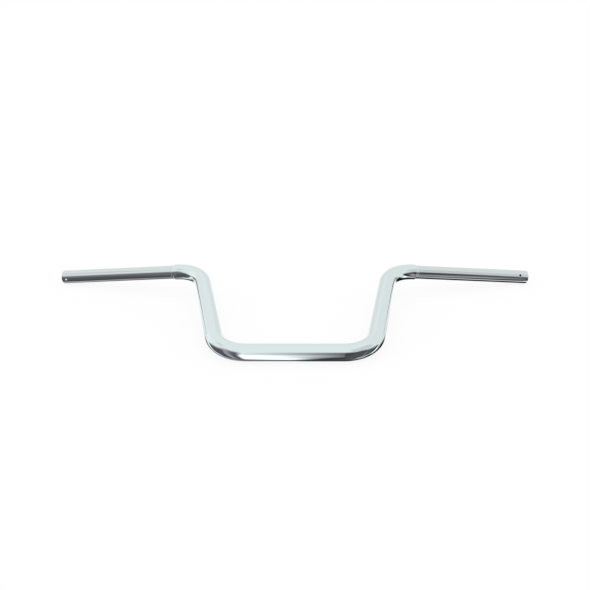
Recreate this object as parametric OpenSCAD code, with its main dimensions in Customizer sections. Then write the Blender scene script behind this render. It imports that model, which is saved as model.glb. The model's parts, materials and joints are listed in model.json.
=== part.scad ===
// Bent handlebar: a fat main tube with a straight clamp section, two lower bends, two leaning uprights and
// two upper bends. A turned reducer steps each side down to a thinner grip tube, which is welded on.
// The bar lies on its clamp section and on the rims of its two grip ends.
// X runs along the clamp section, Y from the clamp section towards the grips, Z up.

/* [Main tube] */
// Outside diameter of the clamp section, the uprights and the bends
tube_od = 25.4; // [24.4:0.1:28.6]
// Wall of the main tube
tube_wall = 2.4; // [1.8:0.1:3.2]
// Length of the straight clamp section
clamp_straight = 138.4; // [90:0.1:260]
// Turn of each lower bend, in degrees
lower_bend_angle = 78.4; // [65:0.1:90]
// Centreline radius of each lower bend
lower_bend_radius = 50.8; // [40:0.1:90]
// Straight length of each upright between its two bends
upright_straight = 158; // [80:0.1:300]
// Roll of the tube between its lower and its upper bend, in degrees
upper_bend_roll = 8.4; // [2:0.1:15]
// Turn of each upper bend, in degrees
upper_bend_angle = 69.4; // [55:0.1:80]
// Centreline radius of each upper bend
upper_bend_radius = 61; // [50:0.1:90]
// Straight end of the main tube after each upper bend
tail_straight = 1.3; // [1.3:0.1:20]
// How much the bending draws the wall in on each of its two faces
bend_draw = 0.03; // [0.02:0.01:0.2]
// How far the undrawn tube runs on into each bend
bend_run_on = 0.4; // [0.2:0.1:0.6]

/* [Reducer] */
// Radius that rounds the outer edge of the shoulder
shoulder_edge_r = 0.8; // [0.3:0.1:2]
// Radius of the hollow at the foot of the shoulder
shoulder_foot_r = 1.8; // [0.5:0.1:6]
// Length of the land between the shoulder and the grip tube's weld
land_len = 1.6; // [0.5:0.1:20]
// Bore through the reducer, for wiring
reducer_bore = 11; // [6:0.1:12.5]
// Length of the tapered lead that enters the upper bend
lead_len = 6; // [3:0.1:10]
// Length of the spigot inside the grip tube
grip_spigot_len = 28; // [12:0.1:60]
// Chamfer on the tip of the grip spigot
spigot_chamfer = 1; // [0.4:0.1:1.4]
// Gap between the tip of the grip spigot and the end of its seat
spigot_end_gap = 1; // [0.5:0.1:3]
// Radial gap between a spigot and the tube around it
fit_gap = 0.05; // [0.02:0.01:0.15]

/* [Welds] */
// Width of each dressed weld at the surface, twice its depth
weld_w = 1.6; // [1:0.1:2]
// Height of the crown that is left on the grip tubes' welds
weld_crown = 0.25; // [0.1:0.05:0.5]

/* [Grip tubes] */
// Outside diameter of each grip tube
grip_od = 22.2; // [21.8:0.1:23.8]
// Wall of each grip tube
grip_wall = 2.2; // [1.8:0.1:2.8]
// Length of each grip tube
grip_len = 202.4; // [120:0.1:260]
// How far the bore is opened, on the radius, to seat the reducer's spigot
seat_ream = 0.3; // [0.1:0.05:0.5]
// Chamfer inside and outside the open rim
rim_chamfer = 0.5; // [0.2:0.1:0.8]

/* [End holes] */
// Diameter of the small hole near each open end
hole_d = 4; // [3:0.1:8]
// Distance of the left hole's centre from the open end
left_hole_inset = 7.5; // [6:0.1:60]
// Turn of the left hole round its tube, in degrees
left_hole_turn = 178; // [0:1:359]
// Distance of the right hole's centre from the open end
right_hole_inset = 15.5; // [6:0.1:60]
// Turn of the right hole round its tube, in degrees
right_hole_turn = 138; // [0:1:359]

/* [Hidden] */
$fn = 96;
LEFT = -1;
RIGHT = 1;
CHROME = [0.80, 0.83, 0.84];
WELD_CHROME = [0.72, 0.75, 0.76];
SETTLE_STEPS = 6;
ROUND_STEPS = 6;

tube_r = tube_od / 2;
tube_bore_r = tube_r - tube_wall;
grip_r = grip_od / 2;
grip_bore_r = grip_r - grip_wall;
weld_depth = weld_w / 2;
grip_seat_r = grip_bore_r + seat_ream;
grip_seat_len = grip_spigot_len + spigot_end_gap;
main_spigot_r = tube_bore_r - fit_gap;
grip_spigot_r = grip_seat_r - fit_gap;
// The two rounds of the shoulder meet on one slope, or on a square face where the step is deeper than both
shoulder_step = tube_r - grip_r;
shoulder_rounds = shoulder_edge_r + shoulder_foot_r;
shoulder_slope = shoulder_step < shoulder_rounds ? acos(1 - shoulder_step / shoulder_rounds) : 90;
shoulder_len = shoulder_rounds * sin(shoulder_slope);
// From the main tube's end face to the grip tube's end face
reducer_len = weld_depth + shoulder_len + land_len + weld_depth;
// How far the outer wall of the bent bore closes in over the length of the lead
bend_bore_r = upper_bend_radius + tube_bore_r;
lead_drop = bend_bore_r - sqrt(pow(bend_bore_r, 2) - pow(lead_len, 2));

// Centreline of the right side with both uprights flat in the XY plane
upright_dir = [cos(lower_bend_angle), sin(lower_bend_angle), 0];
outward_dir = [sin(lower_bend_angle), -cos(lower_bend_angle), 0];
upper_bend_dir = cos(upper_bend_roll) * outward_dir - [0, 0, sin(upper_bend_roll)];
grip_dir = cos(upper_bend_angle) * upright_dir + sin(upper_bend_angle) * upper_bend_dir;
lower_bend_reach = [sin(lower_bend_angle), 1 - cos(lower_bend_angle), 0] * lower_bend_radius;
upright_head = [clamp_straight / 2, 0, 0] + lower_bend_reach + upright_straight * upright_dir;
upper_bend_reach = sin(upper_bend_angle) * upright_dir + (1 - cos(upper_bend_angle)) * upper_bend_dir;
rim_distance = tail_straight + reducer_len + grip_len - rim_chamfer;
rim_centre = upright_head + upper_bend_radius * upper_bend_reach + rim_distance * grip_dir;

// Tilt about X at which the lowest points of the grip rims lie level with the bottom of the clamp section
function grip_fall(tilt) = grip_dir.y * sin(tilt) + grip_dir.z * cos(tilt);
function rim_height(tilt) = grip_r * sqrt(1 - pow(grip_fall(tilt), 2)) - tube_r;
function level_tilt(height) =
    asin(height / norm([rim_centre.y, rim_centre.z])) - atan2(rim_centre.z, rim_centre.y);
function settle(tilt, steps) = steps == 0 ? tilt : settle(level_tilt(rim_height(tilt)), steps - 1);
rest_tilt = settle(0, SETTLE_STEPS);

// The flat bar at rest, seen from one side
module at_rest(side = RIGHT) {
    rotate([rest_tilt, 0, 0])
        mirror([side == LEFT ? 1 : 0, 0, 0])
            children();
}

// The place after a bend that starts along X and turns towards Y, or away from it with both values negative
module after_bend(angle, radius) {
    translate([0, radius, 0])
        rotate([0, 0, angle])
            translate([0, -radius, 0])
                children();
}

module at_upright() {
    translate([clamp_straight / 2, 0, 0])
        after_bend(lower_bend_angle, lower_bend_radius)
            children();
}

module at_upper_bend() {
    at_upright()
        translate([upright_straight, 0, 0])
            rotate([upper_bend_roll, 0, 0])
                children();
}

module at_tail() {
    at_upper_bend()
        after_bend(-upper_bend_angle, -upper_bend_radius)
            children();
}

// The end face of the main tube, where the reducer starts
module at_reducer() {
    at_tail()
        translate([tail_straight, 0, 0])
            children();
}

module at_grip_tube() {
    at_reducer()
        translate([reducer_len, 0, 0])
            children();
}

// A solid of revolution along X from a profile of [radius, distance] points
module turned(profile) {
    rotate([0, 90, 0])
        rotate_extrude()
            polygon(profile);
}

// A straight stretch of main tube that runs on into the bend at each of its ends
module straight_tube(length) {
    far_end = length + bend_run_on;
    turned([[tube_bore_r, -bend_run_on], [tube_r, -bend_run_on], [tube_r, far_end], [tube_bore_r, far_end]]);
}

// A bend that starts along X and turns towards Y
module bent_tube(angle, radius) {
    translate([0, radius, 0])
        rotate([0, 0, -90])
            rotate_extrude(angle = angle)
                translate([radius, 0])
                    difference() {
                        circle(r = tube_r - bend_draw);
                        circle(r = tube_bore_r + bend_draw);
                    }
}

// The cut end of the main tube, bevelled for its weld
module tail() {
    turned([
        [tube_bore_r, -bend_run_on],
        [tube_r, -bend_run_on],
        [tube_r, tail_straight - weld_depth],
        [tube_r - weld_depth, tail_straight],
        [tube_bore_r, tail_straight],
    ]);
}

module main_tube_side() {
    translate([clamp_straight / 2, 0, 0])
        bent_tube(lower_bend_angle, lower_bend_radius);
    at_upright()
        straight_tube(upright_straight);
    at_upper_bend()
        mirror([0, 1, 0])
            bent_tube(upper_bend_angle, upper_bend_radius);
    at_tail()
        tail();
}

module main_tube() {
    color(CHROME) {
        translate([-clamp_straight / 2, 0, 0])
            straight_tube(clamp_straight);
        at_rest(LEFT)
            main_tube_side();
        at_rest(RIGHT)
            main_tube_side();
    }
}

// The shoulder from the main tube's diameter to the grip tube's: a rounded edge that runs into a hollow foot
function shoulder_turn(i) = shoulder_slope * i / ROUND_STEPS;
function shoulder_edge(turn) = [
    tube_r - shoulder_edge_r * (1 - cos(turn)),
    weld_depth + shoulder_edge_r * sin(turn),
];
function shoulder_foot(turn) = [
    grip_r + shoulder_foot_r * (1 - cos(turn)),
    weld_depth + shoulder_len - shoulder_foot_r * sin(turn),
];
shoulder_profile = [
    for (i = [0:ROUND_STEPS]) shoulder_edge(shoulder_turn(i)),
    for (i = [ROUND_STEPS - 1:-1:0]) shoulder_foot(shoulder_turn(i)),
];

// A turned collar with a short led-in spigot in the main tube, a shoulder, and a long spigot in the grip tube
module reducer(side) {
    spigot_tip = reducer_len + grip_spigot_len;
    color(CHROME)
        at_rest(side)
            at_reducer()
                turned([
                    [reducer_bore / 2, -tail_straight - lead_len],
                    [main_spigot_r - lead_drop, -tail_straight - lead_len],
                    [main_spigot_r, -tail_straight],
                    [main_spigot_r, 0],
                    [tube_r - weld_depth, 0],
                    each shoulder_profile,
                    [grip_r, reducer_len - weld_depth],
                    [grip_r - weld_depth, reducer_len],
                    [grip_spigot_r, reducer_len],
                    [grip_spigot_r, spigot_tip - spigot_chamfer],
                    [grip_spigot_r - spigot_chamfer, spigot_tip],
                    [reducer_bore / 2, spigot_tip],
                ]);
}

// A tube with a reamed seat for the spigot, bevelled for its weld at one end and broken at the open rim
module grip_tube(side, hole_inset, hole_turn) {
    color(CHROME)
        at_rest(side)
            at_grip_tube()
                difference() {
                    turned([
                        [grip_seat_r, 0],
                        [grip_r - weld_depth, 0],
                        [grip_r, weld_depth],
                        [grip_r, grip_len - rim_chamfer],
                        [grip_r - rim_chamfer, grip_len],
                        [grip_bore_r + rim_chamfer, grip_len],
                        [grip_bore_r, grip_len - rim_chamfer],
                        [grip_bore_r, grip_seat_len],
                        [grip_seat_r, grip_seat_len],
                    ]);
                    translate([grip_len - hole_inset, 0, 0])
                        rotate([hole_turn - 90, 0, 0])
                            cylinder(d = hole_d, h = grip_od);
                }
}

// A ring of weld that fills the groove between two bevelled edges and is dressed flush
module main_weld(side) {
    color(WELD_CHROME)
        at_rest(side)
            at_reducer()
                turned([[tube_r - weld_depth, 0], [tube_r, -weld_depth], [tube_r, weld_depth]]);
}

// A like ring with a low crown, round the foot of the grip tube
module grip_weld(side) {
    color(WELD_CHROME)
        at_rest(side)
            at_grip_tube()
                turned([
                    [grip_r - weld_depth, 0],
                    for (i = [-ROUND_STEPS:ROUND_STEPS])
                        [grip_r + weld_crown * (1 - pow(i / ROUND_STEPS, 2)), weld_depth * i / ROUND_STEPS],
                ]);
}

main_tube();
reducer(LEFT);  // left_reducer
reducer(RIGHT);  // right_reducer
grip_tube(LEFT, left_hole_inset, left_hole_turn);  // left_grip_tube
grip_tube(RIGHT, right_hole_inset, right_hole_turn);  // right_grip_tube
main_weld(LEFT);  // left_main_weld
main_weld(RIGHT);  // right_main_weld
grip_weld(LEFT);  // left_grip_weld
grip_weld(RIGHT);  // right_grip_weld
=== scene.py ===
"""A bent chrome handlebar lying on a white table: its plated skins, its table, its tent and its camera."""

import json
import math

import bpy
import numpy as np
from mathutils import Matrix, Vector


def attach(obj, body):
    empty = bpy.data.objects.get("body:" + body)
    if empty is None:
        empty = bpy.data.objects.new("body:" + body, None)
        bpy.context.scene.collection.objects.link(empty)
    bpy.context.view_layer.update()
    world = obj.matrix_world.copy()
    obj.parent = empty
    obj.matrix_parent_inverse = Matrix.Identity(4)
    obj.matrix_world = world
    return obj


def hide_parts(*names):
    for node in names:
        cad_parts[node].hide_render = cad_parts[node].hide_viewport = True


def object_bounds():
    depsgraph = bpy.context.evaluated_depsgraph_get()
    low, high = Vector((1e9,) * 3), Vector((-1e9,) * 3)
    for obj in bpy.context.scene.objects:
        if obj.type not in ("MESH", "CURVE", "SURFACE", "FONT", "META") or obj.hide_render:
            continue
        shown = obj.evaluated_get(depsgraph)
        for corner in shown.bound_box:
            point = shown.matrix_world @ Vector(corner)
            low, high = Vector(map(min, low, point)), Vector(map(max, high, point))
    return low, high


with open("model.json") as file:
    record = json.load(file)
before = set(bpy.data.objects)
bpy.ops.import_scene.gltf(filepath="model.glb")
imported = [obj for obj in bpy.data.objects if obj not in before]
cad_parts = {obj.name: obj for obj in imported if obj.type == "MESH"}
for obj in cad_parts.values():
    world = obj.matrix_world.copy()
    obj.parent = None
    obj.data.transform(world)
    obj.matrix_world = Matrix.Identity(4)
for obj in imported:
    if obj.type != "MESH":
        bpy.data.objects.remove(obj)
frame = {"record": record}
cad_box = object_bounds()
mounts = {mount["name"]: mount for mount in frame["record"]["mounts"]}

# The bar in metres and radians, as it is bent: radii and bores come from its mounts
TUBE_R = mounts["clamp_section"]["dims"]["r_mm"] / 1000
GRIP_R = mounts["right_grip"]["dims"]["r_mm"] / 1000
GRIP_BORE_R = mounts["right_end_bore"]["dims"]["r_mm"] / 1000
HOLE_R = mounts["right_end_hole"]["dims"]["r_mm"] / 1000
TUBE_WALL = 0.0024
CLAMP_STRAIGHT = 0.1384
LOWER_BEND_ANGLE = math.radians(78.4)
LOWER_BEND_RADIUS = 0.0508
UPRIGHT_STRAIGHT = 0.158
UPPER_BEND_ROLL = math.radians(8.4)
UPPER_BEND_ANGLE = math.radians(69.4)
UPPER_BEND_RADIUS = 0.061
TAIL_STRAIGHT = 0.0013

# The turned reducer, its welds and the grip tube
SHOULDER_EDGE_R = 0.0008
SHOULDER_FOOT_R = 0.0018
LAND_LEN = 0.0016
LEAD_LEN = 0.006
REDUCER_BORE_R = 0.0055
GRIP_SPIGOT_LEN = 0.028
SPIGOT_CHAMFER = 0.001
SPIGOT_END_GAP = 0.001
SEAT_REAM = 0.0003
FIT_GAP = 0.00005
WELD_DEPTH = 0.0008
WELD_CROWN = 0.00025
GRIP_LEN = 0.2024
RIM_ROUND = 0.0005
HOLE_DISH_WIDTH = 0.001
HOLE_DISH_DEPTH = 0.0004

# How finely the skins are divided, and how far an edge turns before it is sharp
AROUND = 96
BEND_STEPS = 56
ROUND_STEPS = 12
CLAMP_STATIONS = 9
UPRIGHT_STATIONS = 17
GRIP_STATIONS = 12
BORE_STATIONS = 9
PATCH_HALF = 8
PATCH_RINGS = 8
SHARP_ANGLE = math.radians(25)

LEFT, RIGHT = -1, 1
ABOUT_X, ABOUT_Z = 0, 2


def rotation(axis, angle):
    """Turns about X or Z, one matrix for each angle: cosines on the diagonal, sines across it."""
    angle = np.atleast_1d(np.asarray(angle, float))
    c, s = np.cos(angle), np.sin(angle)
    first, second = (axis + 1) % 3, (axis + 2) % 3
    turn = np.zeros((len(angle), 3, 3))
    turn[:, axis, axis] = 1
    turn[:, first, first] = c
    turn[:, second, second] = c
    turn[:, first, second] = -s
    turn[:, second, first] = s
    return turn


def rest_turn():
    """The tilt about X that lays the flat bar down: it turns the flat grip direction onto the mount's axis."""
    lower, rolled = rotation(ABOUT_Z, LOWER_BEND_ANGLE), rotation(ABOUT_X, UPPER_BEND_ROLL)
    flat = (lower @ rolled @ rotation(ABOUT_Z, -UPPER_BEND_ANGLE))[0, :, 0]
    lying = mounts["right_grip"]["axis"]
    return rotation(ABOUT_X, math.atan2(lying[2], lying[1]) - math.atan2(flat[2], flat[1]))[0]


def right_half():
    """The right half of the bent centreline, from the middle of the clamp section to the main tube's end.

    Straights step along the tube's own direction. A bend of radius R turned through a moves R sin a along and
    R (1 - cos a) across. Each station has a frame: direction, side and top. The twist takes the upper bend's
    roll out again, so that the lines along the skin stay unbroken.
    """
    along, side = np.array([1.0, 0, 0]), np.array([0, 1.0, 0])

    def straight(start, turn, distance):
        """Stations on a straight: the start moved along the tube's direction by each distance."""
        return start + distance[:, None] * turn[:, 0], np.repeat(turn[None], len(distance), 0)

    def bend(start, turn, radius, angle, sign):
        """Stations on a bend, to the left for a sign of 1: the start moved by the arc, the frame turned with it."""
        across = radius * (np.sin(angle)[:, None] * along + sign * (1 - np.cos(angle))[:, None] * side)
        return start + across @ turn.T, turn @ rotation(ABOUT_Z, sign * angle)

    def after_first(run):
        """A run without its first station, which ends the run before."""
        return run[0][1:], run[1][1:]

    lower_angles = np.linspace(0, LOWER_BEND_ANGLE, BEND_STEPS + 1)
    upper_angles = np.linspace(0, UPPER_BEND_ANGLE, BEND_STEPS + 1)
    clamp = straight(np.zeros(3), np.eye(3), np.linspace(0, CLAMP_STRAIGHT / 2, CLAMP_STATIONS))
    lower = bend(clamp[0][-1], np.eye(3), LOWER_BEND_RADIUS, lower_angles, 1)
    upright = straight(lower[0][-1], lower[1][-1], np.linspace(0, UPRIGHT_STRAIGHT, UPRIGHT_STATIONS))
    rolled = upright[1][-1] @ rotation(ABOUT_X, UPPER_BEND_ROLL)[0]
    upper = bend(upright[0][-1], rolled, UPPER_BEND_RADIUS, upper_angles, -1)
    tail = straight(upper[0][-1], upper[1][-1], np.array([TAIL_STRAIGHT - WELD_DEPTH, TAIL_STRAIGHT]))
    runs = (clamp, after_first(lower), after_first(upright), after_first(upper), tail)
    lying = rest_turn()
    places = np.concatenate([run[0] for run in runs]) @ lying.T
    frames = lying @ np.concatenate([run[1] for run in runs])
    twist = np.zeros(len(places))
    twist[CLAMP_STATIONS + BEND_STEPS + UPRIGHT_STATIONS - 1:] = UPPER_BEND_ROLL
    return places, frames, twist


HALF_PLACES, HALF_FRAMES, HALF_TWIST = right_half()
TAIL_END, TAIL_FRAME = HALF_PLACES[-1], HALF_FRAMES[-1]
SHOULDER_ROUNDS = SHOULDER_EDGE_R + SHOULDER_FOOT_R
SHOULDER_SLOPE = math.acos(1 - (TUBE_R - GRIP_R) / SHOULDER_ROUNDS)
SHOULDER_LEN = SHOULDER_ROUNDS * math.sin(SHOULDER_SLOPE)
REDUCER_LEN = SHOULDER_LEN + LAND_LEN + 2 * WELD_DEPTH


def mirrored(points, side):
    """Points of the right side, or their mirror image in X for the left side."""
    return points * np.array([side, 1, 1])


def on_end(start, x, turn, radius):
    """Points round the straight end of the bar: x along it from start, then radius out at the angle turn."""
    out = np.cos(turn)[..., None] * TAIL_FRAME[:, 1] + np.sin(turn)[..., None] * TAIL_FRAME[:, 2]
    return TAIL_END + (start + x)[..., None] * TAIL_FRAME[:, 0] + radius[..., None] * out


def closed_faces(index):
    """Four-cornered faces of an index grid that closes on itself both ways: each cell with its neighbours."""
    along = np.roll(index, -1, 0)
    return np.stack([index, along, np.roll(along, -1, 1), np.roll(index, -1, 1)], -1)


def grid_uv(along, around):
    """Corners of a closed grid's cells unrolled flat: distance along the wall against distance around it."""
    along_next = np.append(along[1:], 2 * along[-1] - along[-2])
    around_next = np.append(around[1:], 2 * around[-1] - around[-2])
    near = np.meshgrid(along, around, indexing="ij")
    far = np.meshgrid(along_next, around_next, indexing="ij")
    corners = [(near[0], near[1]), (far[0], near[1]), (far[0], far[1]), (near[0], far[1])]
    return np.stack([np.stack(corner, -1) for corner in corners], -2)


def run_length(x, radius):
    """Distance along a profile, summed over its straight steps."""
    return np.concatenate([[0], np.cumsum(np.hypot(np.diff(x), np.diff(radius)))])


def outward(points, faces, uv):
    """Faces wound outwards: if the signed volume under them is negative, every face is turned over."""
    first, second, third, fourth = (points[faces[:, corner]] for corner in range(4))
    halves = ((second, third), (third, fourth))
    volume = sum(np.einsum("ij,ij->", first, np.cross(near, far)) for near, far in halves)
    return (faces, uv) if volume > 0 else (faces[:, ::-1], uv[:, ::-1])


def set_down(name, data):
    """Puts a mesh or a camera in the scene as an object of that name."""
    thing = bpy.data.objects.new(name, data)
    bpy.context.collection.objects.link(thing)
    return thing


def put_in_mesh(name, points, faces, uv, materials, inner):
    """A smooth piece from its points and faces, with sharp edges kept and its inner faces unplated."""
    faces, uv = outward(points, faces, uv)
    mesh = bpy.data.meshes.new(name)
    mesh.from_pydata(points.tolist(), [], faces.tolist())
    wall = mesh.uv_layers.new(name="wall")
    wall.data.foreach_set("uv", uv.reshape(-1).astype(np.float32))
    for material in materials:
        mesh.materials.append(material)
    mesh.polygons.foreach_set("use_smooth", np.ones(len(faces), bool))
    mesh.polygons.foreach_set("material_index", inner.astype(np.int32))
    mesh.set_sharp_from_angle(angle=SHARP_ANGLE)
    mesh.update()
    return set_down(name, mesh)


def stands_for(piece, node):
    """Puts a skin in the place of its solid, on the bar's one body, and hides the solid."""
    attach(piece, "root")
    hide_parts(node)


def main_tube_skin(materials):
    """The bent tube: a circle carried along the centreline outside, round its bevelled end and back inside."""
    places = np.concatenate([mirrored(HALF_PLACES[:0:-1], LEFT), HALF_PLACES])
    sides = np.concatenate([mirrored(HALF_FRAMES[:0:-1, :, 1], LEFT), HALF_FRAMES[:, :, 1]])
    tops = np.concatenate([mirrored(HALF_FRAMES[:0:-1, :, 2], LEFT), HALF_FRAMES[:, :, 2]])
    twist = np.concatenate([HALF_TWIST[:0:-1], HALF_TWIST])
    count = len(places)
    loop = np.concatenate([np.arange(count), np.arange(count)[::-1]])
    radius = np.concatenate([np.full(count, TUBE_R), np.full(count, TUBE_R - TUBE_WALL)])
    radius[[0, count - 1]] = TUBE_R - WELD_DEPTH
    turn = np.linspace(0, 2 * math.pi, AROUND, endpoint=False)[None, :] - twist[loop][:, None]
    out = np.cos(turn)[..., None] * sides[loop][:, None] + np.sin(turn)[..., None] * tops[loop][:, None]
    points = places[loop][:, None] + radius[:, None, None] * out
    index = np.arange(points.shape[0] * AROUND).reshape(-1, AROUND)
    steps = np.linalg.norm(np.diff(places[loop], axis=0), axis=1)
    uv = grid_uv(np.concatenate([[0], np.cumsum(steps)]), np.arange(AROUND) * 2 * math.pi * TUBE_R / AROUND)
    inner = np.zeros(index.shape, bool)
    inner[count:] = True
    return put_in_mesh(
        "main_tube_skin", points.reshape(-1, 3), closed_faces(index).reshape(-1, 4), uv.reshape(-1, 4, 2),
        materials, inner.reshape(-1),
    )


def turned_skin(name, side, start, profile, materials, inner_from):
    """A turned piece: a closed profile of distances and radii carried round the axis of the bar's end."""
    x, radius = np.array(profile).T
    turn = np.linspace(0, 2 * math.pi, AROUND, endpoint=False)
    points = on_end(start, x[:, None] + 0 * turn, 0 * x[:, None] + turn, radius[:, None] + 0 * turn)
    index = np.arange(len(x) * AROUND).reshape(-1, AROUND)
    uv = grid_uv(run_length(x, radius), turn * GRIP_R)
    inner = np.zeros(index.shape, bool)
    inner[inner_from:] = True
    return put_in_mesh(
        name, mirrored(points.reshape(-1, 3), side), closed_faces(index).reshape(-1, 4), uv.reshape(-1, 4, 2),
        materials, inner.reshape(-1),
    )


def reducer_profile():
    """The reducer's section: an edge rounded outwards and a hollow foot, between a lead and a long spigot."""
    turn = np.linspace(0, SHOULDER_SLOPE, ROUND_STEPS + 1)
    edge = np.stack([
        WELD_DEPTH + SHOULDER_EDGE_R * np.sin(turn),
        TUBE_R - SHOULDER_EDGE_R * (1 - np.cos(turn)),
    ], 1)
    foot = np.stack([
        WELD_DEPTH + SHOULDER_LEN - SHOULDER_FOOT_R * np.sin(turn),
        GRIP_R + SHOULDER_FOOT_R * (1 - np.cos(turn)),
    ], 1)[::-1]
    main_spigot_r = TUBE_R - TUBE_WALL - FIT_GAP
    grip_spigot_r = GRIP_BORE_R + SEAT_REAM - FIT_GAP
    bend_bore_r = UPPER_BEND_RADIUS + TUBE_R - TUBE_WALL
    lead_drop = bend_bore_r - math.sqrt(bend_bore_r ** 2 - LEAD_LEN ** 2)
    tip = REDUCER_LEN + GRIP_SPIGOT_LEN
    outside = [
        (0, main_spigot_r),
        (0, TUBE_R - WELD_DEPTH),
        *edge,
        *foot[1:],
        (REDUCER_LEN - WELD_DEPTH, GRIP_R),
    ]
    inside = [
        (REDUCER_LEN, GRIP_R - WELD_DEPTH),
        (REDUCER_LEN, grip_spigot_r),
        (tip - SPIGOT_CHAMFER, grip_spigot_r),
        (tip, grip_spigot_r - SPIGOT_CHAMFER),
        (tip, REDUCER_BORE_R),
        (-TAIL_STRAIGHT - LEAD_LEN, REDUCER_BORE_R),
        (-TAIL_STRAIGHT - LEAD_LEN, main_spigot_r - lead_drop),
        (-TAIL_STRAIGHT, main_spigot_r),
    ]
    return outside + inside, len(outside)


def weld_profile(radius, crown):
    """A weld's section: a groove as deep as half its width, under a low parabola of the crown's height."""
    across = np.linspace(-1, 1, 2 * ROUND_STEPS + 1)
    top = np.stack([WELD_DEPTH * across, radius + crown * (1 - across ** 2)], 1)
    return [*top, (0, radius - WELD_DEPTH)], len(top)


def hole_place(side):
    """Where a small hole sits on its grip tube: its distance from the inner end, and its angle round the tube."""
    mount = mounts["right_end_hole" if side == RIGHT else "left_end_hole"]
    seam = TAIL_END + REDUCER_LEN * TAIL_FRAME[:, 0]
    place = mirrored(np.array(mount["pos_m"]), side) - seam
    axis = mirrored(np.array(mount["axis"]), side)
    return place @ TAIL_FRAME[:, 0], math.atan2(axis @ TAIL_FRAME[:, 2], axis @ TAIL_FRAME[:, 1])


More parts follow.
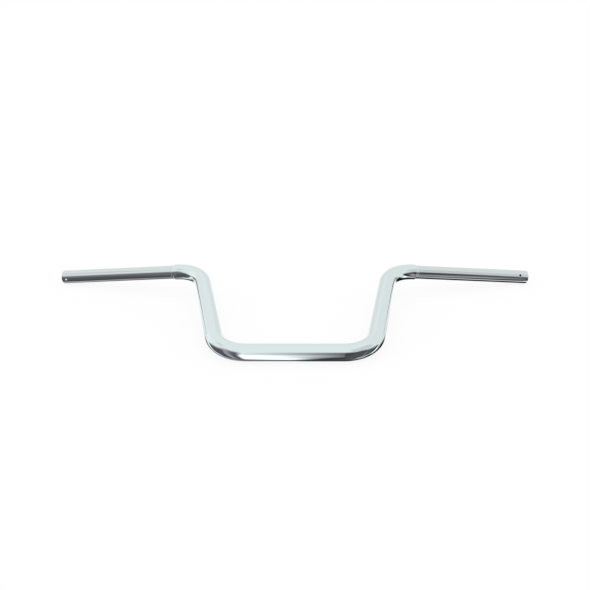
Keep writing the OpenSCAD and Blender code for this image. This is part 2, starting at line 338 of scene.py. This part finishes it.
def grip_tube_skin(name, side, materials):
    """A grip tube drilled near its end.

    The tube is a closed profile carried round its axis. Round the hole a square of cells is left out of both
    walls. Rings run from the outer square to a circle, over its dished edge, down the hole, and out to the inner
    square. Each ring on a wall is a blend of square and circle on the unrolled wall.
    """
    hole_x, hole_turn = hole_place(side)
    cell = 2 * math.pi / AROUND
    lines = hole_x + np.arange(-PATCH_HALF, PATCH_HALF + 1) * cell * GRIP_R
    quarter = np.linspace(0, math.pi / 2, ROUND_STEPS // 2 + 1)
    rim_x = GRIP_LEN - RIM_ROUND + RIM_ROUND * np.sin(quarter)
    rim_fall = RIM_ROUND * (1 - np.cos(quarter))
    seat_r, seat_len = GRIP_BORE_R + SEAT_REAM, GRIP_SPIGOT_LEN + SPIGOT_END_GAP
    plain = np.linspace(WELD_DEPTH, lines[0], GRIP_STATIONS)[:-1]
    plain_bore = np.linspace(seat_len, lines[0], BORE_STATIONS)[:-1]
    x = np.concatenate([
        [0], plain, lines, rim_x, rim_x[::-1], lines[::-1], plain_bore[::-1], [seat_len, 0],
    ])
    radius = np.concatenate([
        [GRIP_R - WELD_DEPTH], np.full(len(plain) + len(lines), GRIP_R), GRIP_R - rim_fall,
        (GRIP_BORE_R + rim_fall)[::-1], np.full(len(lines) + len(plain_bore), GRIP_BORE_R), [seat_r, seat_r],
    ])
    turn = hole_turn + np.arange(AROUND) * cell
    rows = len(x)
    index = np.arange(rows * AROUND).reshape(rows, AROUND)
    outer_rows = 1 + len(plain) + np.arange(2 * PATCH_HALF + 1)
    inner_rows = 1 + len(plain) + len(lines) + 2 * len(rim_x) + np.arange(2 * PATCH_HALF + 1)[::-1]

    # The border of the square that is left out, as steps along and around from the hole
    side_steps = np.arange(-PATCH_HALF, PATCH_HALF)
    edge = np.full(2 * PATCH_HALF, PATCH_HALF)
    step_x = np.concatenate([side_steps, edge, -side_steps, -edge])
    step_turn = np.concatenate([-edge, side_steps, edge, -side_steps])
    border = len(step_x)
    spin = np.arctan2(step_turn, step_x)
    ring_x, ring_side = np.cos(spin), np.sin(spin)

    def wall_rings(wall_r, hole_r, blends):
        """Rings on one wall: the square's border blended towards a circle of the hole's radius."""
        circle_x = hole_r * ring_x
        circle_turn = np.arcsin(hole_r * ring_side / wall_r)
        share = np.asarray(blends)[:, None]
        return (
            (1 - share) * step_x * cell * GRIP_R + share * circle_x,
            (1 - share) * step_turn * cell + share * circle_turn,
            np.full((len(blends), border), wall_r),
        )

    def drilled_rings(hole_r, depth):
        """Rings inside the hole: a circle square to its axis, sunk below the outer wall by the depth."""
        hole_r, depth = np.asarray(hole_r)[:, None], np.asarray(depth)[:, None]
        height = np.sqrt(GRIP_R ** 2 - (hole_r * ring_side) ** 2) - depth
        across = hole_r * ring_side
        return hole_r * ring_x, np.arctan2(across, height), np.hypot(across, height)

    blends = np.linspace(0, 1, PATCH_RINGS + 1)
    edge_turn = quarter[1:]
    dished = drilled_rings(
        HOLE_R + HOLE_DISH_WIDTH * (1 - np.sin(edge_turn)), HOLE_DISH_DEPTH * (1 - np.cos(edge_turn)),
    )
    parts = (
        wall_rings(GRIP_R, HOLE_R + HOLE_DISH_WIDTH, blends[1:]),
        dished,
        wall_rings(GRIP_BORE_R, HOLE_R, blends[:0:-1]),
    )
    ring_along, ring_turn, ring_radius = (np.concatenate([part[i] for part in parts]) for i in range(3))

    shape = np.ones((rows, AROUND))
    points = np.concatenate([
        on_end(REDUCER_LEN, x[:, None] * shape, turn * shape, radius[:, None] * shape).reshape(-1, 3),
        on_end(REDUCER_LEN, hole_x + ring_along, hole_turn + ring_turn, ring_radius).reshape(-1, 3),
    ])
    ring_index = rows * AROUND + np.arange(ring_along.size).reshape(-1, border)
    rings = np.concatenate([
        index[outer_rows[step_x + PATCH_HALF], step_turn % AROUND][None],
        ring_index,
        index[inner_rows[step_x + PATCH_HALF], step_turn % AROUND][None],
    ])

    kept = np.ones((rows, AROUND), bool)
    gone = np.arange(-PATCH_HALF, PATCH_HALF) % AROUND
    for first in (outer_rows.min(), inner_rows.min()):
        kept[np.ix_(first + np.arange(2 * PATCH_HALF), gone)] = False
    inner = np.zeros((rows, AROUND), bool)
    inner[1 + len(plain) + len(lines) + len(rim_x) + len(quarter) // 2:] = True
    faces = closed_faces(index)[kept]
    uv = grid_uv(run_length(x, radius), np.arange(AROUND) * cell * GRIP_R)[kept]
    next_round = np.roll(rings, -1, 1)
    hole_faces = np.stack([rings[:-1], next_round[:-1], next_round[1:], rings[1:]], -1).reshape(-1, 4)
    hole_uv = np.repeat(uv[:1], len(hole_faces), 0)

    def faces_out(face):
        """Whether a face's normal, the cross product of two of its sides, points away from the tube's axis."""
        corners = points[face]
        middle = corners.mean(0) - TAIL_END
        away = middle - (middle @ TAIL_FRAME[:, 0]) * TAIL_FRAME[:, 0]
        return np.cross(corners[1] - corners[0], corners[2] - corners[0]) @ away > 0

    # The first ring of the hole faces away from the axis, as the wall that it joins does
    wall_face = closed_faces(index)[outer_rows[0] - 1, 0]
    if faces_out(hole_faces[0]) != faces_out(wall_face):
        hole_faces = hole_faces[:, ::-1]
    hole_inner = np.zeros((len(rings) - 1, border), bool)
    hole_inner[PATCH_RINGS + len(edge_turn):] = True
    return put_in_mesh(
        name, mirrored(points, side), np.concatenate([faces, hole_faces]), np.concatenate([uv, hole_uv]),
        materials, np.concatenate([inner[kept], hole_inner.reshape(-1)]),
    )


def node_at(tree, kind, x, y, **sockets):
    """A shader node of one kind at a place on the sheet, with constant values on its own sockets."""
    node = tree.nodes.new(kind)
    node.location = (x, y)
    for name, value in sockets.items():
        node.inputs[name.replace("_", " ")].default_value = value
    return node


MARK_LENGTH = 40  # a polishing mark's length round the tube, in widths


def plated_finish(name, colour, smooth, dull, haze_scale, polish_scale, polish_depth):
    """Polished plating: a clear metal, hazed in soft patches, with fine polishing marks round the tube."""
    finish = bpy.data.materials.new(name)
    finish.use_nodes = True
    tree = finish.node_tree
    metal = tree.nodes["Principled BSDF"]
    metal.inputs["Base Color"].default_value = (*colour, 1)
    metal.inputs["Metallic"].default_value = 1
    place = node_at(tree, "ShaderNodeTexCoord", -900, 200)
    haze = node_at(tree, "ShaderNodeTexNoise", -700, 200, Scale=haze_scale, Detail=3, Roughness=0.55)
    spread = node_at(
        tree, "ShaderNodeMapRange", -450, 200, From_Min=0.3, From_Max=0.7, To_Min=smooth, To_Max=dull,
    )
    stretch = node_at(
        tree, "ShaderNodeMapping", -900, -150, Scale=(polish_scale, polish_scale / MARK_LENGTH, 1),
    )
    marks = node_at(tree, "ShaderNodeTexNoise", -700, -150, Scale=1, Detail=2, Roughness=0.5)
    relief = node_at(tree, "ShaderNodeBump", -250, -150, Strength=1, Distance=polish_depth)
    tree.links.new(place.outputs["Object"], haze.inputs["Vector"])
    tree.links.new(haze.outputs["Fac"], spread.inputs["Value"])
    tree.links.new(spread.outputs["Result"], metal.inputs["Roughness"])
    tree.links.new(place.outputs["UV"], stretch.inputs["Vector"])
    tree.links.new(stretch.outputs["Vector"], marks.inputs["Vector"])
    tree.links.new(marks.outputs["Fac"], relief.inputs["Height"])
    tree.links.new(relief.outputs["Normal"], metal.inputs["Normal"])
    return finish


def bare_steel_finish(name, bright, dark):
    """Unplated steel in a bore: grey streaks drawn along the tube, dull, with a light bloom."""
    finish = bpy.data.materials.new(name)
    finish.use_nodes = True
    tree = finish.node_tree
    metal = tree.nodes["Principled BSDF"]
    metal.inputs["Metallic"].default_value = 1
    metal.inputs["Roughness"].default_value = 0.42
    place = node_at(tree, "ShaderNodeTexCoord", -900, 100)
    stretch = node_at(tree, "ShaderNodeMapping", -700, 100, Scale=(60, 1500, 1))
    streaks = node_at(tree, "ShaderNodeTexNoise", -500, 100, Scale=1, Detail=4, Roughness=0.6)
    shades = node_at(tree, "ShaderNodeValToRGB", -280, 100)
    shades.color_ramp.elements[0].position = 0.3
    shades.color_ramp.elements[0].color = (*dark, 1)
    shades.color_ramp.elements[1].position = 0.7
    shades.color_ramp.elements[1].color = (*bright, 1)
    relief = node_at(tree, "ShaderNodeBump", -280, -200, Strength=1, Distance=0.00002)
    tree.links.new(place.outputs["UV"], stretch.inputs["Vector"])
    tree.links.new(stretch.outputs["Vector"], streaks.inputs["Vector"])
    tree.links.new(streaks.outputs["Fac"], shades.inputs["Fac"])
    tree.links.new(shades.outputs["Color"], metal.inputs["Base Color"])
    tree.links.new(streaks.outputs["Fac"], relief.inputs["Height"])
    tree.links.new(relief.outputs["Normal"], metal.inputs["Normal"])
    return finish


CHROME = (0.775, 0.79, 0.80)
GRIP_CHROME = (0.735, 0.73, 0.73)
# The grip welds' colour is darker than the plating round them: this is painted shade, standing in for the dark ring
# that a groove at the weld reflects
GRIP_WELD_SHADED_CHROME = (0.68, 0.695, 0.705)
main_chrome = plated_finish(
    "main_tube_chrome", CHROME, smooth=0.015, dull=0.035, haze_scale=45, polish_scale=900, polish_depth=0.0000004,
)
grip_chrome = plated_finish(
    "grip_tube_chrome", GRIP_CHROME, smooth=0.015, dull=0.04, haze_scale=60, polish_scale=1100,
    polish_depth=0.0000004,
)
reducer_chrome = plated_finish(
    "shoulder_chrome", CHROME, smooth=0.02, dull=0.05, haze_scale=80, polish_scale=2600, polish_depth=0.0000008,
)
main_weld_chrome = plated_finish(
    "main_weld_chrome", CHROME, smooth=0.02, dull=0.05, haze_scale=400, polish_scale=1200, polish_depth=0.0000008,
)
# The grip weld's duller, rougher finish is real; its darker colour is painted shade
grip_weld_shaded_chrome = plated_finish(
    "grip_weld_shaded_chrome", GRIP_WELD_SHADED_CHROME, smooth=0.16, dull=0.26, haze_scale=400, polish_scale=1200,
    polish_depth=0.000002,
)
bore_steel = bare_steel_finish("bare_bore_steel", bright=(0.20, 0.195, 0.19), dark=(0.09, 0.087, 0.085))

stands_for(main_tube_skin([main_chrome, bore_steel]), "main_tube")
section, plated_rows = reducer_profile()
grip_weld_section, grip_weld_rows = weld_profile(GRIP_R, WELD_CROWN)
main_weld_section, main_weld_rows = weld_profile(TUBE_R, 0)
for side, word in ((LEFT, "left"), (RIGHT, "right")):
    stands_for(
        turned_skin(word + "_reducer_skin", side, 0, section, [reducer_chrome, bore_steel], plated_rows),
        word + "_reducer",
    )
    stands_for(
        grip_tube_skin(word + "_grip_tube_skin", side, [grip_chrome, bore_steel]),
        word + "_grip_tube",
    )
    stands_for(
        turned_skin(
            word + "_main_weld_skin", side, 0, main_weld_section, [main_weld_chrome], main_weld_rows + 1,
        ),
        word + "_main_weld",
    )
    stands_for(
        turned_skin(
            word + "_grip_weld_skin", side, REDUCER_LEN, grip_weld_section, [grip_weld_shaded_chrome],
            grip_weld_rows + 1,
        ),
        word + "_grip_weld",
    )


# The table, the tent over it, and the cards that only the plating shows. Bearings and heights are in degrees:
# bearing 0 is towards the camera and 90 to the right. Near cards are in metres, and their lean is in radians.
# A tone is a brightness, and 1 is white.
TABLE_SIZE = 60.0
TABLE_GLOW = 0.88
TENT_RADIUS = 1.5
TENT_MIDDLE = (0, 0.12, 0)
TENT_STEP = 1.0
NEAR_CARD_STEPS = 64
TENT_CLOTH = (0.952, 1.042, 1.042)
TENT_SHADE = (0.95, 1.0, 1.075)
SHADE_UP_TO, CLOTH_FROM = 0.3, 0.9
CLOTH_TONE = 0.953
SIDE_FADE = 0.3
SKIRT_DROP, SKIRT_SWING = 1.9, 25.6
SKIRT_FADE_BELOW, SKIRT_FADE_ABOVE = 11.2, 12.1
SKIRT_TONE, SKIRT_RIGHT_MORE = 0.031, 0.083
UNDER_UP_TO, UNDER_GONE_FROM = -80, -64
UNDER_TONE, UNDER_RIGHT_LESS = 0.162, 0.109
TENT_CARDS = (
    # centre, half width, low, high, blur, tone
    (5.3, 28.4, -32.8, 96.3, 20, 0.97),  # bright cloth over the front window
    (-4.4, 13.5, -87.3, -7.2, 17.8, 1.8),  # front window
    (-49.2, 16, -35.2, 22.7, 28, 0.21),  # left front strip
    (-110.6, 14, -71.4, 27.2, 28, 1.04),  # left opening
    (-135.8, 52.9, -70.4, -59.8, 15.8, 1.41),  # left back strip
    (81.8, 7.7, -87, -33.9, 14.1, 0.7),  # right strip
    (129.7, 41.4, -45.8, 53.3, 7.9, 0.91),  # right opening
    (138.4, 33, -72.5, -15.7, 12.3, 0.01),  # right dark card
    (-179.6, 20.2, -68.6, -25.6, 4, 0.68),  # back opening
    (26.5, 26.1, -47.4, 23.2, 20.6, 0.07),  # front dark card
    (70.3, 20.4, -55.8, -53.1, 14.1, 1.22),  # right low strip
    (9.2, 6.7, -80.7, -40.9, 11.4, 0.03),  # front low dark card
    (-81.6, 70.6, -74.4, -55.4, 24.4, 0.24),  # left low strip
    (48.8, 4.4, -35.5, -12.8, 26.8, 0.64),  # right front strip
    (-74.7, 31.3, -43.8, -5.3, 9.1, 0.11),  # left dark card
    (179.7, 42.9, -24.4, -14.5, 4.2, 1.02),  # cloth behind
    (165.6, 12.8, -72.8, -52.2, 4, 0.01),  # right back dark card
    (54.4, 26.7, 19.4, 52.6, 10, 0.74),  # dim cloth on the right
    (-84.5, 9.6, 42.7, 45.7, 19.7, 0.31),  # dim cloth on the left
    (180, 42, -12, 26, 22, 0.87),  # dim cloth behind
)
NEAR_CARDS = (
    # name, middle, facing, lean, half size, blur, tone
    ("left_strip", (-0.268, -0.147, -0.086), (0.73, 0.591, 0.344), -0.153, (0.036, 0.214), 0.036, 0.381),
    ("right_card", (0.245, -0.228, -0.07), (-0.72, 0.42, 0.553), 0.099, (0.112, 0.192), 0.012, 0.097),
    ("right_far_light", (0.742, 0.14, -0.41), (-0.841, 0.007, 0.54), 0.056, (0.043, 0.15), 0.076, 1.55),
    ("right_far_dark", (0.669, -0.028, -0.305), (-0.958, -0.15, 0.244), 0.303, (0.053, 0.306), 0.058, 0.018),
    ("right_low_strip", (0.319, 0.071, -0.12), (-0.502, 0.727, 0.468), 1.002, (0.018, 0.0685), 0.02, 0.48),
)


def smooth_step(value, low, high):
    """0 below low, 1 above high, and 3 t squared less 2 t cubed between them."""
    share = np.clip((value - low) / (high - low), 0, 1)
    return share * share * (3 - 2 * share)


def card_cover(bearing, height, centre, half_width, low, high, blur):
    """How far a soft card covers each direction: 1 inside its bearings and heights, and 0 past its blur."""
    off = np.abs((bearing - centre + 180) % 360 - 180)
    beside = 1 - smooth_step(off, half_width - blur / 2, half_width + blur / 2)
    above = smooth_step(height, low - blur / 2, low + blur / 2)
    return beside * above * (1 - smooth_step(height, high - blur / 2, high + blur / 2))


def tent_tone(bearing, height):
    """Brightness of the tent by direction.

    White cloth hangs above a dark skirt, whose soft edge is highest at the front. Cards, strips and openings are
    laid over both, each over the ones before it, and the ground under the bar comes last.
    """
    front = np.cos(np.radians(bearing))
    right = smooth_step(np.sin(np.radians(bearing)), -SIDE_FADE, SIDE_FADE)
    skirt_top = SKIRT_SWING * front - SKIRT_DROP
    skirt = 1 - smooth_step(height, skirt_top - SKIRT_FADE_BELOW, skirt_top + SKIRT_FADE_ABOVE)
    tone = np.full(bearing.shape, CLOTH_TONE)
    tone = tone + skirt * (SKIRT_TONE + SKIRT_RIGHT_MORE * right - tone)
    for centre, half_width, low, high, blur, card_tone in TENT_CARDS:
        cover = card_cover(bearing, height, centre, half_width, low, high, blur)
        tone = tone + cover * (card_tone - tone)
    under = 1 - smooth_step(height, UNDER_UP_TO, UNDER_GONE_FROM)
    return tone + under * (UNDER_TONE - UNDER_RIGHT_LESS * right - tone)


def tent_light(tone):
    """The tent's light from its brightness: pale cloth is a little green-blue, and dark cloth a little blue."""
    pale = smooth_step(tone, SHADE_UP_TO, CLOTH_FROM)[:, None]
    return tone[:, None] * ((1 - pale) * np.array(TENT_SHADE) + pale * np.array(TENT_CLOTH))


def lay_light(mesh, tone, cover):
    """Writes each point's light on the mesh: its colour, and how far it covers what is behind it."""
    light = np.column_stack([tent_light(tone), cover]).astype(np.float32)
    layer = mesh.attributes.new("light", "FLOAT_COLOR", "POINT")
    layer.data.foreach_set("color", light.reshape(-1))
    mesh.update()


def lit_cloth():
    """Cloth that gives off the light written on its mesh, and lets through what it does not cover."""
    cloth = bpy.data.materials.new("tent_cloth")
    cloth.use_nodes = True
    tree = cloth.node_tree
    tree.nodes.clear()
    read = node_at(tree, "ShaderNodeAttribute", -400, 0)
    read.attribute_name = "light"
    glow = node_at(tree, "ShaderNodeEmission", -150, -50)
    clear = node_at(tree, "ShaderNodeBsdfTransparent", -150, 100)
    mix = node_at(tree, "ShaderNodeMixShader", 50, 0)
    out = node_at(tree, "ShaderNodeOutputMaterial", 250, 0)
    tree.links.new(read.outputs["Color"], glow.inputs["Color"])
    tree.links.new(read.outputs["Alpha"], mix.inputs["Fac"])
    tree.links.new(clear.outputs["BSDF"], mix.inputs[1])
    tree.links.new(glow.outputs["Emission"], mix.inputs[2])
    tree.links.new(mix.outputs["Shader"], out.inputs["Surface"])
    return cloth


def hang(name, mesh):
    """Puts up a piece of the tent, which is seen only in the plating."""
    piece = set_down(name, mesh)
    for ray in ("camera", "diffuse", "transmission", "volume_scatter", "shadow"):
        setattr(piece, "visible_" + ray, False)


def near_card(cloth, name, middle, facing, lean, half_size, blur, tone):
    """A soft card close to the bar: a flat grid that faces one way, leans in its plane and fades at its border."""
    facing = np.array(facing) / np.linalg.norm(facing)
    level = np.cross([0, 0, 1], facing)
    level = level / np.linalg.norm(level)
    upright = np.cross(facing, level)
    along = math.cos(lean) * level + math.sin(lean) * upright
    up = math.cos(lean) * upright - math.sin(lean) * level
    steps = np.linspace(-1, 1, NEAR_CARD_STEPS + 1)
    x, y = np.meshgrid(*(steps * (half + blur / 2) for half in half_size), indexing="ij")
    points = np.array(middle) + x[..., None] * along + y[..., None] * up
    cover = np.ones(x.shape)
    for off, half in zip((x, y), half_size):
        cover = cover * (1 - smooth_step(np.abs(off), half - blur / 2, half + blur / 2))
    index = np.arange(x.size).reshape(x.shape)
    cells = np.stack([index[:-1, :-1], index[1:, :-1], index[1:, 1:], index[:-1, 1:]], -1)
    mesh = bpy.data.meshes.new(name)
    mesh.from_pydata(points.reshape(-1, 3).tolist(), [], cells.reshape(-1, 4).tolist())
    lay_light(mesh, np.full(x.size, tone), cover.reshape(-1))
    mesh.materials.append(cloth)
    hang(name, mesh)


def tent_cloth(cloth):
    """The tent: a sphere by bearing and height, closed at both poles, with its brightness at each point."""
    bearing = np.arange(-180, 180, TENT_STEP)
    height = np.linspace(-90, 90, int(180 / TENT_STEP) + 1)[1:-1]
    across, up = np.meshgrid(bearing, height)
    flat = np.cos(np.radians(up))
    points = np.stack([
        np.sin(np.radians(across)) * flat, -np.cos(np.radians(across)) * flat, np.sin(np.radians(up)),
    ], -1).reshape(-1, 3)
    index = np.arange(len(points)).reshape(across.shape)
    around = np.roll(index, -1, 1)
    walls = np.stack([index[:-1], index[1:], around[1:], around[:-1]], -1).reshape(-1, 4)
    foot = np.full(len(bearing), len(points))
    caps = np.concatenate([
        np.stack([foot, index[0], around[0]], -1),
        np.stack([foot + 1, around[-1], index[-1]], -1),
    ])
    points = np.concatenate([points, [[0, 0, -1], [0, 0, 1]]]) * TENT_RADIUS + np.array(TENT_MIDDLE)
    tone = np.append(tent_tone(across, up).reshape(-1), tent_tone(np.zeros(2), np.array([-90.0, 90.0])))
    mesh = bpy.data.meshes.new("tent_cloth")
    mesh.from_pydata(points.tolist(), [], walls.tolist() + caps.tolist())
    lay_light(mesh, tone, np.ones(len(tone)))
    mesh.materials.append(cloth)
    hang("tent", mesh)


def white_table(level):
    """A plain white table top under the bar, level with the bottom of its clamp section.

    Most of the white that the camera sees is the table's own glow, so that the bar's shadow on it is only faint.
    The plating shows the tent in its place.
    """
    half = TABLE_SIZE / 2
    corners = [(-half, -half, level), (half, -half, level), (half, half, level), (-half, half, level)]
    mesh = bpy.data.meshes.new("table")
    mesh.from_pydata(corners, [], [(0, 1, 2, 3)])
    paint = bpy.data.materials.new("white_table")
    paint.use_nodes = True
    tree = paint.node_tree
    tree.nodes.clear()
    matt = node_at(tree, "ShaderNodeBsdfDiffuse", -150, 100, Color=(1, 1, 1, 1))
    glow = node_at(tree, "ShaderNodeEmission", -150, -50, Color=(1, 1, 1, 1), Strength=1)
    path = node_at(tree, "ShaderNodeLightPath", -700, 300)
    mirror = node_at(tree, "ShaderNodeMath", -500, 300)
    mirror.operation = "MAXIMUM"
    seen = node_at(tree, "ShaderNodeMath", -350, 300)
    seen.operation = "MAXIMUM"
    share = node_at(tree, "ShaderNodeMath", -200, 300)
    share.operation = "MULTIPLY"
    share.inputs[1].default_value = TABLE_GLOW
    mix = node_at(tree, "ShaderNodeMixShader", 50, 0)
    out = node_at(tree, "ShaderNodeOutputMaterial", 250, 0)
    tree.links.new(path.outputs["Is Glossy Ray"], mirror.inputs[0])
    tree.links.new(path.outputs["Is Transmission Ray"], mirror.inputs[1])
    tree.links.new(path.outputs["Is Camera Ray"], seen.inputs[0])
    tree.links.new(mirror.outputs["Value"], seen.inputs[1])
    tree.links.new(seen.outputs["Value"], share.inputs[0])
    tree.links.new(share.outputs["Value"], mix.inputs["Fac"])
    tree.links.new(matt.outputs["BSDF"], mix.inputs[1])
    tree.links.new(glow.outputs["Emission"], mix.inputs[2])
    tree.links.new(mix.outputs["Shader"], out.inputs["Surface"])
    mesh.materials.append(paint)
    table = set_down("table", mesh)
    table.visible_glossy = False


card_cloth = lit_cloth()
tent_cloth(card_cloth)
for card in NEAR_CARDS:
    near_card(card_cloth, *card)
white_table(cad_box[0][2])

world = bpy.data.worlds.new("soft_white")
world.use_nodes = True
sky = world.node_tree.nodes["Background"]
sky.inputs["Color"].default_value = (1, 1, 1, 1)
sky.inputs["Strength"].default_value = 1
bpy.context.scene.world = world
bpy.context.scene.view_settings.view_transform = "Standard"

# The camera stands in front of the bar and looks down on it: sensor and lens in millimetres, the rest in metres
CAMERA_PLACE = (0, -0.917, 0.5026)
CAMERA_DOWN = math.radians(24.27)
CAMERA_SENSOR = 36
CAMERA_LENS = 45
CAMERA_REACH = 200
camera = bpy.data.cameras.new("front_camera")
camera.sensor_width = CAMERA_SENSOR
camera.lens = CAMERA_LENS
camera.clip_end = CAMERA_REACH
front_camera = set_down("front_camera", camera)
front_camera.location = CAMERA_PLACE
front_camera.rotation_euler = (math.pi / 2 - CAMERA_DOWN, 0, 0)
bpy.context.scene.camera = front_camera
